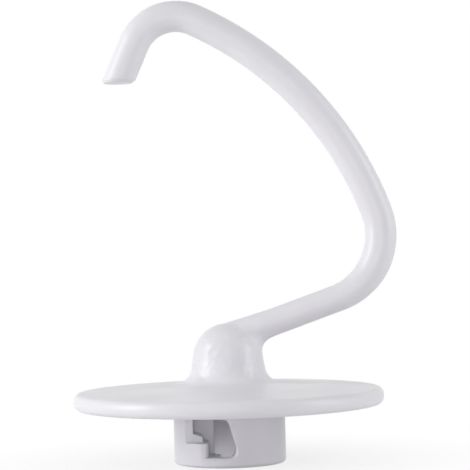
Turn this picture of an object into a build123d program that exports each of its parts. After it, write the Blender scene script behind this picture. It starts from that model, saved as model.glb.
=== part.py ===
"""Dough hook for a stand mixer: one coated aluminium casting.

It is modelled standing on its hub end, hook upwards. The origin is the mouth of the drive socket,
+Z runs along the socket's axis towards the hook, and the hook lies in the XZ plane.
"""

import math
import os

from build123d import *

# Driving dimensions in millimetres and degrees

# Drive socket, with the mixer's shaft and cross pin that go into it
shaft_diameter = 12.7
shaft_clearance = 0.2
socket_depth = 36.0
pin_diameter = 4.2
pin_reach = 15.4
pin_clearance = 0.4

# Hub
hub_diameter = 40.0
hub_end_bevel = 0.8

# Bayonet window, cast straight into the front of the hub: a pocket on the left that holds the pin, with
# a ledge under it, and a leg on the right where the pin comes in. Left and right are measured from the
# socket's axis, heights from the hub's end. A narrow band of wall is left between the window's top and
# the bevel at the disc's root.
window_band = 0.96
window_floor = 3.5
pocket_left = 12.9
pocket_floor = 11.6
pocket_back = 3.5
ledge_left = 9.5
ledge_drop = 1.1
ledge_round = 1.2
leg_left = 7.6
leg_right = 2.0
ramp_foot = 7.4
ramp_lean = 2.6
lead_depth = 4.5
lead_round = 2.2
lead_turn = 80.0
window_round = 2.4
window_edge_bevel = 0.8

# Flat on the hub round the pocket
flat_distance = 12.4
flat_floor = 8.5

# Dough guard disc
disc_diameter = 111.0
rim_thickness = 5.6
rim_round = 2.2
rim_height = 23.1
disc_top_angle = 4.0
disc_under_angle = 2.0
disc_root_bevel = 1.2

# Stem with a domed head
stem_diameter = 25.0
stem_draft_angle = 9.0
stem_head_height = 37.3
stem_foot_blend = 5.4

# Hook rod: a tapered neck and a straight run out of the head, an outer bend that thickens over its
# first part, a long bend, a top bend and a tip that is cut off level
run_rise = 6.8
run_angle = 19.0
neck_length = 18.0
run_length = 24.0
outer_bend_radius = 24.1
outer_bend_angle = 90.8
thickening_angle = 45.0
long_bend_radius = 123.8
long_bend_angle = 44.9
top_bend_radius = 16.4
top_bend_angle = 91.5
tip_length = 15.0
neck_diameter = 11.4
run_diameter = 9.7
rod_diameter = 11.2
tip_diameter = 11.0
neck_round = 5.0
tip_bevel = 1.0

# Values that follow from them
hub_radius = hub_diameter / 2
socket_radius = shaft_diameter / 2 + shaft_clearance
channel_width = pin_diameter + 2 * pin_clearance
channel_reach = pin_reach + pin_clearance
disc_radius = disc_diameter / 2
rim_low = rim_height - rim_thickness / 2
rim_high = rim_height + rim_thickness / 2
rim_start = disc_radius - rim_round
stem_radius = stem_diameter / 2

# The rim's curve goes three quarters of the way from its ends to its control points, so it just
# touches the disc's diameter
rim_pull = rim_start + rim_round / 0.75

# The pin comes in by the keyway, in the middle of the leg
keyway_angle = -90 + math.degrees(math.asin((leg_right - leg_left) / 2 / hub_radius))


def underside_at(radius):
    """Height of the disc's underside at a distance from the axis."""
    return rim_low - (disc_radius - radius) * math.tan(math.radians(disc_under_angle))


def topside_at(radius):
    """Height of the disc's upper face at a distance from the axis."""
    return rim_high + (disc_radius - radius) * math.tan(math.radians(disc_top_angle))


def front_plane(distance):
    """Upright plane that faces the front, at a distance from the axis."""
    return Plane((0, -distance, 0), x_dir=(1, 0, 0), z_dir=(0, -1, 0))


def section_plane(edge, place):
    """Plane square to an edge of the rod's line, at a share of its length."""
    return Plane(edge @ place, x_dir=(0, 1, 0), z_dir=edge % place)


window_top = underside_at(hub_radius) - disc_root_bevel - window_band

# Outline of the window, seen from the front
window_corners = [
    (-pocket_left, window_top),
    (leg_right - ramp_lean, window_top),
    (leg_right, ramp_foot),
    (leg_right, window_floor),
    (-leg_left, window_floor),
    (-leg_left, flat_floor),
    (-ledge_left, flat_floor),
    (-ledge_left, pocket_floor - ledge_drop),
    (-pocket_left, pocket_floor),
]

# Points on the stem's side, which is tangent to the domed head, and on the blend at its foot
draft = math.radians(stem_draft_angle)
half_way = math.radians(45 + stem_draft_angle / 2)
crown = (0, stem_head_height + stem_radius)
head_side = (stem_radius * math.cos(half_way), stem_head_height + stem_radius * math.sin(half_way))
shoulder = (stem_radius * math.cos(draft), stem_head_height + stem_radius * math.sin(draft))
foot_radius = shoulder[0] + (shoulder[1] - topside_at(stem_radius)) * math.tan(draft)
foot = (foot_radius, topside_at(foot_radius))
foot_end = (foot_radius + stem_foot_blend, topside_at(foot_radius + stem_foot_blend))
foot_start = (
    foot[0] - stem_foot_blend * math.sin(draft),
    foot[1] + stem_foot_blend * math.cos(draft),
)

# The neck's blend keeps over the middle of the blend at the stem's foot
neck_blend = min(neck_round, shoulder[1] - (foot[1] + foot_start[1]) / 2)

# Middle line of the rod
with BuildLine(Plane.XZ):
    neck = PolarLine((0, stem_head_height + run_rise), neck_length, run_angle)
    lower_run = PolarLine(neck @ 1, run_length, run_angle)
    thickening = JernArc(lower_run @ 1, lower_run % 1, outer_bend_radius, thickening_angle)
    outer_rest = outer_bend_angle - thickening_angle
    outer_bend = JernArc(thickening @ 1, thickening % 1, outer_bend_radius, outer_rest)
    long_bend = JernArc(outer_bend @ 1, outer_bend % 1, long_bend_radius, long_bend_angle)
    top_bend = JernArc(long_bend @ 1, long_bend % 1, top_bend_radius, top_bend_angle)
    tip_run = PolarLine(top_bend @ 1, tip_length + tip_diameter, direction=top_bend % 1)
tip_point = tip_run @ (tip_length / tip_run.length)

with BuildPart() as dough_hook:
    # Hub, disc and stem, turned about the socket's axis
    with BuildSketch(Plane.XZ):
        with BuildLine():
            Line(foot_start, shoulder)
            ThreePointArc(shoulder, head_side, crown)
            Polyline(
                crown,
                (0, 0),
                (hub_radius - hub_end_bevel, 0),
                (hub_radius, hub_end_bevel),
                (hub_radius, underside_at(hub_radius) - disc_root_bevel),
                (hub_radius + disc_root_bevel, underside_at(hub_radius + disc_root_bevel)),
                (rim_start, underside_at(rim_start)),
            )
            Bezier(
                (rim_start, underside_at(rim_start)),
                (rim_pull, underside_at(rim_pull)),
                (rim_pull, topside_at(rim_pull)),
                (rim_start, topside_at(rim_start)),
            )
            Line((rim_start, topside_at(rim_start)), foot_end)
            Bezier(foot_end, foot, foot_start)
        make_face()
    revolve(axis=Axis.Z)

    # Neck, tapering out of the head and blended into it
    with BuildSketch(section_plane(neck, 0)):
        Circle(neck_diameter / 2)
    with BuildSketch(section_plane(neck, 1)):
        Circle(run_diameter / 2)
    loft()
    fillet(dough_hook.edges(Select.NEW), neck_blend)

    # Straight lower run
    with BuildSketch(section_plane(lower_run, 0)):
        Circle(run_diameter / 2)
    sweep(path=lower_run)

    # First part of the outer bend, where the rod thickens
    with BuildSketch(section_plane(thickening, 0)):
        Circle(run_diameter / 2)
    with BuildSketch(section_plane(thickening, 1)):
        Circle(rod_diameter / 2)
    sweep(path=thickening, multisection=True)

    # Rest of the outer bend, and the long bend
    with BuildSketch(section_plane(outer_bend, 0)):
        Circle(rod_diameter / 2)
    sweep(path=[outer_bend, long_bend])

    # Top bend, tapering to the tip
    with BuildSketch(section_plane(top_bend, 0)):
        Circle(rod_diameter / 2)
    with BuildSketch(section_plane(top_bend, 1)):
        Circle(tip_diameter / 2)
    sweep(path=top_bend, multisection=True)

    # Straight tip
    with BuildSketch(section_plane(tip_run, 0)):
        Circle(tip_diameter / 2)
    sweep(path=tip_run)

    # Tip cut off level, with a bevelled edge
    with BuildSketch(Plane.XY.offset(tip_point.Z)):
        with Locations((tip_point.X, 0)):
            Circle(tip_diameter)
    extrude(amount=-2 * tip_diameter, mode=Mode.SUBTRACT)
    chamfer(dough_hook.edges(Select.NEW), tip_bevel)

    # Drive socket
    with BuildSketch():
        Circle(socket_radius)
    extrude(amount=socket_depth, mode=Mode.SUBTRACT)

    # Keyway for the cross pin, from the mouth up to the window's top
    with BuildSketch(Plane.XY.rotated((0, 0, keyway_angle))):
        Rectangle(channel_reach, channel_width, align=(Align.MIN, Align.CENTER))
    extrude(amount=window_top, mode=Mode.SUBTRACT)

    # Flat round the pocket
    with BuildSketch(front_plane(flat_distance)):
        with Locations((-leg_left, flat_floor)):
            Rectangle(hub_radius, window_top - flat_floor, align=(Align.MAX, Align.MIN))
    extrude(amount=hub_radius, mode=Mode.SUBTRACT)

    # Window, straight in from the front
    with BuildSketch(front_plane(pocket_back)):
        with BuildLine():
            FilletPolyline(
                window_corners,
                radius=(0, window_round, window_round, window_round, 0, 0, 0, ledge_round, 0),
                close=True,
            )
        make_face()
    extrude(amount=hub_radius, mode=Mode.SUBTRACT)

    # Rounded lead-in on the left of the leg
    with BuildSketch(Plane.XY.offset(window_floor)):
        with BuildLine():
            lead = JernArc((-leg_left, lead_depth - hub_radius), (0, -1), lead_round, -lead_turn)
            flare = PolarLine(lead @ 1, lead_round, direction=lead % 1)
            Polyline(flare @ 1, ((flare @ 1).X, -hub_radius), (-leg_left, -hub_radius), lead @ 0)
        make_face()
    extrude(amount=flat_floor - window_floor, mode=Mode.SUBTRACT)

    # Bevelled edge round the window, right of the ledge, where it comes out of the hub's round side
    hub_side = dough_hook.faces().filter_by(GeomType.CYLINDER).sort_by(SortBy.AREA)[-1]
    front_edges = hub_side.edges().filter_by_position(Axis.Y, -hub_radius, -flat_distance)
    chamfer(front_edges.filter_by_position(Axis.X, -ledge_left, leg_right), window_edge_bevel)

os.makedirs("parts", exist_ok=True)
dough_hook.part.label = "dough_hook"
export_step(dough_hook.part, "parts/dough_hook.step")
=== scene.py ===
"""Dough hook for a stand mixer: its coat, and the studio that it is shown in.

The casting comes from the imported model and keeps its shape. This file gives it its powder coat and sets
a paper sweep, lamps and a camera round it. It is laid out as an add-on and is run as a script. Lengths
are in metres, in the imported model's frame: the origin is the mouth of the drive socket and +Z runs along
the socket's axis towards the hook.
"""

import math
from typing import NamedTuple

import bpy
import numpy as np
from mathutils import Matrix, Vector

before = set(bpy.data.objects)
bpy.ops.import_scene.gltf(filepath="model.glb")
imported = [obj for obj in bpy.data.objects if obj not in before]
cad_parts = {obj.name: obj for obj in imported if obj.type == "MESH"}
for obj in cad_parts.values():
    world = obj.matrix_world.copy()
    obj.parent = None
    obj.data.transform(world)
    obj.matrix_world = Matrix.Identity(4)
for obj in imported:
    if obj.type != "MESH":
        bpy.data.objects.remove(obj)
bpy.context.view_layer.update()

bl_info = {
    "name": "Dough Hook",
    "version": (1, 0, 0),
    "blender": (4, 5, 0),
    "location": "View3D > Sidebar > Dough Hook",
    "description": "Coats the cast dough hook and sets up its studio",
    "category": "Object",
}

CASTING = "dough_hook"
MILLIMETRE = 0.001

# Coat: its refraction and gloss, how far its roughness strays, and the noise values that stand for a
# thick and a thin coat
REFRACTIVE_INDEX = 1.5
SPECULAR_LEVEL = 0.4
SMOOTHER_BY, ROUGHER_BY = 0.04, 0.05
THICK_NOISE, THIN_NOISE = 0.3, 0.7
EDGE_SAMPLES = 8

# The stem's cast skin: the middle of the stem, and the distances from it where the skin ends
STEM_MIDDLE = (0, 0, 38 * MILLIMETRE)
SKIN_FADES_FROM, SKIN_FADES_TO = 17 * MILLIMETRE, 25 * MILLIMETRE

# Studio
WHITE = (1, 1, 1, 1)
BEND_POINTS = 25
SWEEP_COLUMNS = 9
LAMP_AIM = Vector((0, 0, 80 * MILLIMETRE))
SOCKET_LAMP_PLACE = (0, 0, 0.5 * MILLIMETRE)
SENSOR_WIDTH = 36


class LampPlace(NamedTuple):
    """Where a lamp hangs, in degrees round from the front and in metres, and how large it is."""

    azimuth: float
    height: float
    distance: float
    width: float
    length: float


LEFT_LAMP = LampPlace(azimuth=-75, height=0.28, distance=0.8, width=0.3, length=0.56)
RIGHT_LAMP = LampPlace(azimuth=75, height=0.32, distance=0.7, width=0.2, length=0.6)
FRONT_LAMP = LampPlace(azimuth=0, height=0.06, distance=0.7, width=0.3, length=0.12)


def linear(hex_colour):
    """Linear red, green and blue of an sRGB hex colour."""
    srgb = np.array([int(hex_colour[i:i + 2], 16) for i in (1, 3, 5)]) / 255
    return tuple(np.where(srgb <= 0.04045, srgb / 12.92, ((srgb + 0.055) / 1.055) ** 2.4))


def per_metre(size):
    """Texture scale that makes a pattern's cells as large as a size in metres."""
    return 1 / size


def add_node(tree, kind, settings=None, **inputs):
    """Adds a node with its settings, and gives each input a value or a link from a socket.

    An input goes by its name, with _ for a space, or by its number after a _.
    """
    node = tree.nodes.new(kind)
    for name, value in (settings or {}).items():
        setattr(node, name, value)
    for name, value in inputs.items():
        number = name.removeprefix("_")
        socket = node.inputs[int(number) if number.isdigit() else name.replace("_", " ")]
        if isinstance(value, bpy.types.NodeSocket):
            tree.links.new(value, socket)
        else:
            socket.default_value = value
    return node


def new_material(name):
    """An empty node material."""
    material = bpy.data.materials.new(name)
    material.use_nodes = True
    material.node_tree.nodes.clear()
    return material


class CoatSettings(bpy.types.PropertyGroup):
    """Look of the powder coat."""

    coat_colour: bpy.props.FloatVectorProperty(
        name="Coat", description="Colour of the coat where it is thick", subtype="COLOR",
        size=3, min=0, max=1, default=linear("#E9E8ED"))
    thin_colour: bpy.props.FloatVectorProperty(
        name="Thin coat", description="Colour of the coat where it is thinner", subtype="COLOR",
        size=3, min=0, max=1, default=linear("#E2E0E5"))
    cloud_size: bpy.props.FloatProperty(
        name="Cloud size", description="Width of the patches where the coat is thinner",
        subtype="DISTANCE", default=22 * MILLIMETRE)
    roughness: bpy.props.FloatProperty(
        name="Roughness", description="Roughness of the baked coat", subtype="FACTOR",
        min=0, max=1, default=0.32)
    peel_size: bpy.props.FloatProperty(
        name="Orange peel size", description="Width of the coat's fine ripples",
        subtype="DISTANCE", default=2.2 * MILLIMETRE)
    peel_height: bpy.props.FloatProperty(
        name="Orange peel height", description="Height of the coat's fine ripples",
        subtype="DISTANCE", default=0.03 * MILLIMETRE)
    swell_size: bpy.props.FloatProperty(
        name="Casting swell size", description="Width of the casting's uneven places under the coat",
        subtype="DISTANCE", default=9 * MILLIMETRE)
    swell_height: bpy.props.FloatProperty(
        name="Casting swell height", description="Height of the casting's uneven places",
        subtype="DISTANCE", default=0.14 * MILLIMETRE)
    dimple_size: bpy.props.FloatProperty(
        name="Dimple size", description="Width of the shallow dimples in the stem's cast skin",
        subtype="DISTANCE", default=8 * MILLIMETRE)
    dimple_height: bpy.props.FloatProperty(
        name="Dimple height", description="Height of the dimples in the stem's cast skin",
        subtype="DISTANCE", default=1.1 * MILLIMETRE)
    edge_round: bpy.props.FloatProperty(
        name="Edge round", description="Radius that the coat rounds a sharp edge to",
        subtype="DISTANCE", default=0.7 * MILLIMETRE)


class StudioSettings(bpy.types.PropertyGroup):
    """Sizes and strengths of the studio."""

    paper_colour: bpy.props.FloatVectorProperty(
        name="Paper", description="Colour of the paper sweep", subtype="COLOR",
        size=3, min=0, max=1, default=linear("#F2F2F2"))
    whiteness: bpy.props.FloatProperty(
        name="Whiteness", description="Share of the paper's lightness that is its own, next to the hook",
        subtype="FACTOR", min=0, max=1, default=0.75)
    shadow_reach: bpy.props.FloatProperty(
        name="Shadow reach", description="Distance at which the paper is white all by itself",
        subtype="DISTANCE", default=0.12)
    sweep_width: bpy.props.FloatProperty(
        name="Sweep width", description="Width of the paper sweep", subtype="DISTANCE", default=4.0)
    sweep_front: bpy.props.FloatProperty(
        name="Sweep front", description="Reach of the paper towards the camera",
        subtype="DISTANCE", default=1.6)
    sweep_back: bpy.props.FloatProperty(
        name="Sweep back", description="Reach of the paper behind the hook", subtype="DISTANCE", default=1.6)
    sweep_bend: bpy.props.FloatProperty(
        name="Sweep bend", description="Radius of the bend up to the wall", subtype="DISTANCE", default=0.5)
    sweep_height: bpy.props.FloatProperty(
        name="Sweep height", description="Height of the wall", subtype="DISTANCE", default=2.0)
    ambient: bpy.props.FloatProperty(
        name="Ambient", description="Strength of the light from all round", min=0, default=0.48)
    left_power: bpy.props.FloatProperty(
        name="Left lamp", description="Power of the large lamp on the left", unit="POWER", default=3.8)
    right_power: bpy.props.FloatProperty(
        name="Right lamp", description="Power of the strip lamp on the right", unit="POWER", default=1.5)
    front_power: bpy.props.FloatProperty(
        name="Front lamp", description="Power of the low lamp in front", unit="POWER", default=0.42)
    socket_power: bpy.props.FloatProperty(
        name="Socket lamp", description="Power of the small lamp under the drive socket",
        unit="POWER", precision=6, default=0.00024)
    socket_lamp_size: bpy.props.FloatProperty(
        name="Socket lamp size", description="Diameter of the small lamp under the drive socket",
        subtype="DISTANCE", default=12.5 * MILLIMETRE)
    camera_distance: bpy.props.FloatProperty(
        name="Camera distance", description="Distance of the camera from the socket's axis",
        subtype="DISTANCE", default=0.620)
    camera_height: bpy.props.FloatProperty(
        name="Camera height", description="Height of the camera over the floor",
        subtype="DISTANCE", default=0.072)
    camera_roll: bpy.props.FloatProperty(
        name="Camera roll", description="Lean of the camera to its side", subtype="ANGLE", default=-0.025)
    camera_lens: bpy.props.FloatProperty(
        name="Lens", description="Focal length in millimetres", subtype="DISTANCE_CAMERA", default=132.4)
    camera_shift: bpy.props.FloatVectorProperty(
        name="Shift", description="Shift of the picture, in picture widths", size=2, default=(0.0202, 0.056))


def powder_coat(settings):
    """White powder coat baked on cast aluminium.

    To the eye it is a satin white with a soft gloss. The coat's own fine ripple and the casting's uneven
    places under it break the highlights, thin places look a little greyer, and sharp edges are rounded.
    """
    material = new_material("white_powder_coat_on_cast_aluminium")
    tree = material.node_tree
    place = add_node(tree, "ShaderNodeTexCoord").outputs["Object"]
    cloud = add_node(
        tree, "ShaderNodeTexNoise", Vector=place, Scale=per_metre(settings.cloud_size), Detail=3.0)
    tint = add_node(
        tree, "ShaderNodeMix", {"data_type": "RGBA"},
        _0=cloud.outputs["Fac"], _6=(*settings.coat_colour, 1), _7=(*settings.thin_colour, 1))
    gloss = add_node(
        tree, "ShaderNodeMapRange", Value=cloud.outputs["Fac"], From_Min=THICK_NOISE, From_Max=THIN_NOISE,
        To_Min=settings.roughness - SMOOTHER_BY, To_Max=settings.roughness + ROUGHER_BY)
    # Drawn about twice as coarse as the real ripple, which is too fine to show
    peel = add_node(
        tree, "ShaderNodeTexNoise", Vector=place, Scale=per_metre(settings.peel_size), Detail=1.0)
    swell = add_node(
        tree, "ShaderNodeTexNoise", Vector=place, Scale=per_metre(settings.swell_size), Detail=1.0)
    # The stem's skin is left as cast, so the dimples fade out over the dome and the foot
    from_stem = add_node(
        tree, "ShaderNodeVectorMath", {"operation": "DISTANCE"}, _0=place, _1=STEM_MIDDLE)
    on_stem = add_node(
        tree, "ShaderNodeMapRange", {"interpolation_type": "SMOOTHSTEP"},
        Value=from_stem.outputs["Value"], From_Min=SKIN_FADES_FROM, From_Max=SKIN_FADES_TO,
        To_Min=1.0, To_Max=0.0)
    dimple = add_node(
        tree, "ShaderNodeTexNoise", Vector=place, Scale=per_metre(settings.dimple_size), Detail=2.0)
    edge = add_node(tree, "ShaderNodeBevel", {"samples": EDGE_SAMPLES}, Radius=settings.edge_round)
    uneven = add_node(
        tree, "ShaderNodeBump", Height=swell.outputs["Fac"], Distance=settings.swell_height,
        Normal=edge.outputs["Normal"])
    skin = add_node(
        tree, "ShaderNodeBump", Strength=on_stem.outputs["Result"], Height=dimple.outputs["Fac"],
        Distance=settings.dimple_height, Normal=uneven.outputs["Normal"])
    ripple = add_node(
        tree, "ShaderNodeBump", Height=peel.outputs["Fac"], Distance=settings.peel_height,
        Normal=skin.outputs["Normal"])
    coat = add_node(
        tree, "ShaderNodeBsdfPrincipled", Base_Color=tint.outputs[2], Roughness=gloss.outputs["Result"],
        IOR=REFRACTIVE_INDEX, Specular_IOR_Level=SPECULAR_LEVEL, Normal=ripple.outputs["Normal"])
    add_node(tree, "ShaderNodeOutputMaterial", Surface=coat.outputs["BSDF"])
    return material


def seen_rays(tree):
    """Socket that is 1 for rays from the camera, in reflections and through glass, and 0 for the rest."""
    rays = add_node(tree, "ShaderNodeLightPath").outputs
    seen = add_node(
        tree, "ShaderNodeMath", {"operation": "MAXIMUM"},
        _0=rays["Is Camera Ray"], _1=rays["Is Glossy Ray"])
    return add_node(
        tree, "ShaderNodeMath", {"operation": "MAXIMUM"},
        _0=seen.outputs[0], _1=rays["Is Transmission Ray"]).outputs[0]


def studio_paper(settings):
    """Matt white paper.

    It bounces light as paper does. Seen by the camera or in a reflection it is white by itself, and only
    near the hook does part of its lightness come from the lamps, so that the hook's shadow stays on it.
    """
    material = new_material("matt_white_studio_paper")
    tree = material.node_tree
    paper = add_node(tree, "ShaderNodeBsdfDiffuse", Color=(*settings.paper_colour, 1))
    white = add_node(tree, "ShaderNodeEmission", Strength=1.0)
    place = add_node(tree, "ShaderNodeTexCoord").outputs["Object"]
    from_hook = add_node(tree, "ShaderNodeVectorMath", {"operation": "LENGTH"}, _0=place)
    whiteness = add_node(
        tree, "ShaderNodeMapRange", {"interpolation_type": "SMOOTHSTEP"},
        Value=from_hook.outputs["Value"], From_Min=0.0, From_Max=settings.shadow_reach,
        To_Min=settings.whiteness, To_Max=1.0)
    share = add_node(
        tree, "ShaderNodeMath", {"operation": "MULTIPLY"},
        _0=seen_rays(tree), _1=whiteness.outputs["Result"])
    mix = add_node(
        tree, "ShaderNodeMixShader", Fac=share.outputs[0], _1=paper.outputs[0], _2=white.outputs[0])
    add_node(tree, "ShaderNodeOutputMaterial", Surface=mix.outputs[0])
    return material


def sweep_surface(settings):
    """Vertices and faces of the paper sweep.

    A profile in the YZ plane, made of a level run, a quarter circle and an upright run, is carried
    along X from one side of the sweep to the other.
    """
    turn = np.linspace(0, math.pi / 2, BEND_POINTS)
    bend_start = settings.sweep_back - settings.sweep_bend
    along = np.concatenate(
        ([-settings.sweep_front], bend_start + settings.sweep_bend * np.sin(turn), [settings.sweep_back]))
    up = np.concatenate(([0], settings.sweep_bend * (1 - np.cos(turn)), [settings.sweep_height]))
    across = np.linspace(-0.5, 0.5, SWEEP_COLUMNS) * settings.sweep_width
    x, y = np.meshgrid(across, along)
    z = np.repeat(up[:, None], len(across), axis=1)
    points = np.stack((x, y, z), axis=-1).reshape(-1, 3)
    index = np.arange(len(points)).reshape(x.shape)
    faces = np.stack((index[:-1, :-1], index[:-1, 1:], index[1:, 1:], index[1:, :-1]), axis=-1)
    return points, faces.reshape(-1, 4)


class DOUGH_HOOK_OT_coat_casting(bpy.types.Operator):
    """Give the casting its powder coat"""

    bl_idname = "dough_hook.coat_casting"
    bl_label = "Coat the Casting"

    def execute(self, context):
        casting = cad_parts[CASTING]
        casting.data.materials.clear()
        casting.data.materials.append(powder_coat(context.scene.dough_hook_coat))
        return {"FINISHED"}


class DOUGH_HOOK_OT_set_studio(bpy.types.Operator):
    """Set the paper sweep, the lamps, the light from all round and the camera"""

    bl_idname = "dough_hook.set_studio"
    bl_label = "Set the Studio"

    def execute(self, context):
        scene = context.scene
        settings = scene.dough_hook_studio
        scene.view_settings.view_transform = "Standard"
        self.lay_paper(scene, settings)
        self.hang_lamps(scene, settings)
        self.light_all_round(scene, settings)
        self.place_camera(scene, settings)
        return {"FINISHED"}

    def lay_paper(self, scene, settings):
        """Lays the paper sweep under and behind the hook."""
        points, faces = sweep_surface(settings)
        mesh = bpy.data.meshes.new("paper_sweep")
        mesh.from_pydata(points.tolist(), [], faces.tolist())
        mesh.shade_smooth()
        mesh.materials.append(studio_paper(settings))
        paper = bpy.data.objects.new("paper_sweep", mesh)
        scene.collection.objects.link(paper)

    def hang_lamps(self, scene, settings):
        """Hangs three lamps round the hook, all turned to its middle, and lays one under its socket."""
        for name, power, hangs in (
                ("left_strip", settings.left_power, LEFT_LAMP),
                ("right_strip", settings.right_power, RIGHT_LAMP),
                ("front_box", settings.front_power, FRONT_LAMP)):
            angle = math.radians(hangs.azimuth)
            place = Vector(
                (hangs.distance * math.sin(angle), -hangs.distance * math.cos(angle), hangs.height))
            turn = (place - LAMP_AIM).to_track_quat("Z", "Y").to_matrix().to_4x4()
            light = bpy.data.lights.new(name, "AREA")
            light.shape = "RECTANGLE"
            light.size, light.size_y = hangs.width, hangs.length
            self.add_lamp(scene, light, power, Matrix.Translation(place) @ turn)
        # Faces up from the paper under the hub, for the light that comes in by the open socket when the
        # hook isn't standing on anything
        light = bpy.data.lights.new("socket_lamp", "AREA")
        light.shape = "DISK"
        light.size = settings.socket_lamp_size
        upwards = Matrix.Rotation(math.pi, 4, "X")
        self.add_lamp(
            scene, light, settings.socket_power, Matrix.Translation(SOCKET_LAMP_PLACE) @ upwards)

    def add_lamp(self, scene, light, power, matrix):
        """Adds a lamp that the camera doesn't see."""
        light.energy = power
        lamp = bpy.data.objects.new(light.name, light)
        lamp.matrix_world = matrix
        lamp.visible_camera = False
        scene.collection.objects.link(lamp)

    def light_all_round(self, scene, settings):
        """Lights the hook from all round, and shows white wherever the paper ends."""
        world = bpy.data.worlds.new("studio_air")
        world.use_nodes = True
        tree = world.node_tree
        tree.nodes.clear()
        air = add_node(tree, "ShaderNodeBackground", Color=WHITE, Strength=settings.ambient)
        white = add_node(tree, "ShaderNodeBackground", Color=WHITE, Strength=1.0)
        mix = add_node(
            tree, "ShaderNodeMixShader", Fac=seen_rays(tree), _1=air.outputs[0], _2=white.outputs[0])
        add_node(tree, "ShaderNodeOutputWorld", Surface=mix.outputs[0])
        scene.world = world

    def place_camera(self, scene, settings):
        """Places a level camera in front of the hook, with a slight roll."""
        data = bpy.data.cameras.new("camera")
        data.sensor_width = SENSOR_WIDTH
        data.lens = settings.camera_lens
        data.shift_x, data.shift_y = settings.camera_shift
        camera = bpy.data.objects.new("camera", data)
        camera.matrix_world = (
            Matrix.Translation((0, -settings.camera_distance, settings.camera_height))
            @ Matrix.Rotation(math.pi / 2, 4, "X")
            @ Matrix.Rotation(settings.camera_roll, 4, "Z"))
        scene.collection.objects.link(camera)
        scene.camera = camera


class DOUGH_HOOK_PT_panel(bpy.types.Panel):
    """Settings and steps of the dough hook"""

    bl_idname = "DOUGH_HOOK_PT_panel"
    bl_label = "Dough Hook"
    bl_space_type = "VIEW_3D"
    bl_region_type = "UI"
    bl_category = "Dough Hook"

    def draw(self, context):
        """Lists each group of settings over the button that uses it."""
        for settings, operator in (
                (context.scene.dough_hook_coat, DOUGH_HOOK_OT_coat_casting),
                (context.scene.dough_hook_studio, DOUGH_HOOK_OT_set_studio)):
            column = self.layout.column()
            for name in settings.__annotations__:
                column.prop(settings, name)
            column.operator(operator.bl_idname)


CLASSES = (
    CoatSettings,
    StudioSettings,
    DOUGH_HOOK_OT_coat_casting,
    DOUGH_HOOK_OT_set_studio,
    DOUGH_HOOK_PT_panel,
)


def register():
    """Adds the classes, and the settings to the scene."""
    for cls in CLASSES:
        bpy.utils.register_class(cls)
    bpy.types.Scene.dough_hook_coat = bpy.props.PointerProperty(type=CoatSettings)
    bpy.types.Scene.dough_hook_studio = bpy.props.PointerProperty(type=StudioSettings)


def unregister():
    """Takes away the settings and the classes."""
    del bpy.types.Scene.dough_hook_studio
    del bpy.types.Scene.dough_hook_coat
    for cls in reversed(CLASSES):
        bpy.utils.unregister_class(cls)


def main():
    """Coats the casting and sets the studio."""
    register()
    bpy.ops.dough_hook.coat_casting()
    bpy.ops.dough_hook.set_studio()


if __name__ == "__main__":
    main()
